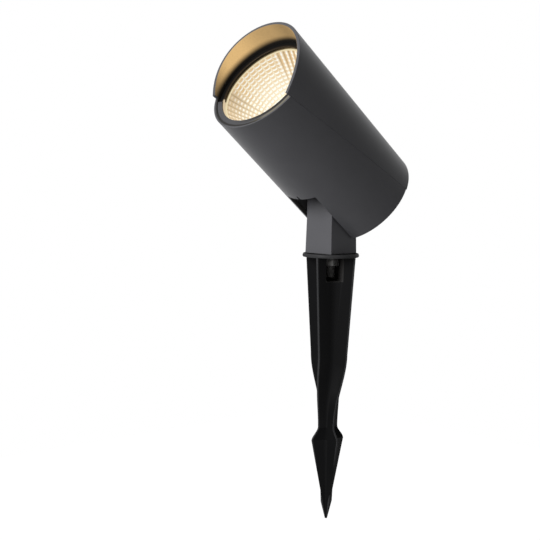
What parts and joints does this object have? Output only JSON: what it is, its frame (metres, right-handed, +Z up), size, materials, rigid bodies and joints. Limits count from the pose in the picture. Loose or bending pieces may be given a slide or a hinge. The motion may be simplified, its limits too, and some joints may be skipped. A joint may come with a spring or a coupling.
{
  "type": "garden spotlight",
  "caption": "Tilting tubular garden spotlight with a glare visor, on a square post and a bladed ground spike.",
  "frame": {"origin": "centre of the spike collar's underside, at ground level", "axes": "+Z up along the spike and post, -Y the way the head shines, X along the tilt pivot"},
  "size_m": [0.076, 0.1435, 0.3381],
  "materials": {
    "anthracite_coat": "fine textured powder coat",
    "spike_plastic": "moulded black plastic",
    "zinc_steel": "zinc plated",
    "white_nylon": "moulded nylon",
    "die_cast": "as cast",
    "black_rubber": "moulded silicone",
    "clear_silicone": "translucent silicone",
    "black_nylon": "moulded nylon",
    "pad_grey": "soft thermal pad",
    "led_white": "white solder mask on a metal core",
    "phosphor": "phosphor coated light field",
    "lead_red": "insulated wire",
    "reflector_metal": "bright faceted mirror",
    "clear_glass": "toughened, polished",
    "bezel_black": "black anodised",
    "board_green": "circuit board",
    "coil_yellow": "taped winding",
    "black_sleeve": "capacitor sleeve"
  },
  "bodies": {
    "spike": {"ground_spike": "spike_plastic"},
    "post": {"post": "anthracite_coat", "spike_stud": "zinc_steel", "spike_nut": "zinc_steel", "spike_washer": "zinc_steel"},
    "head": {"pivot_bolt": "zinc_steel", "pivot_nut": "zinc_steel", "pivot_washers": "zinc_steel", "friction_washers": "black_nylon", "lower_shell": "anthracite_coat", "visor_shell": "anthracite_coat", "housing_core": "die_cast", "rear_cover": "anthracite_coat", "rear_gasket": "black_rubber", "rear_screws": "zinc_steel", "cable_gland_body": "black_nylon", "cable_gland_nut": "black_nylon", "cable_gland_seal": "black_rubber", "cable_gland_locknut": "black_nylon", "thermal_pad": "pad_grey", "led_board": "led_white", "led_emitter": "phosphor", "led_holder": "white_nylon", "led_holder_screws": "zinc_steel", "led_leads": "lead_red", "reflector": "reflector_metal", "glass_gasket": "clear_silicone", "front_glass": "clear_glass", "bezel_ring": "bezel_black", "driver_board": "board_green", "driver_screws": "zinc_steel", "driver_transformer": "coil_yellow", "driver_capacitors": "black_sleeve", "driver_terminals": "white_nylon"}
  },
  "joints": [
    {"name": "post_swivel", "type": "hinge", "parent": "spike", "child": "post", "pos_m": [0, 0, 0], "axis": [0, 0, 1], "range_deg": [-180, 180]},
    {"name": "head_tilt", "type": "hinge", "parent": "post", "child": "head", "pos_m": [0, 0, 0.0383], "axis": [-1, 0, 0], "range_deg": [-68, 52]}
  ]
}
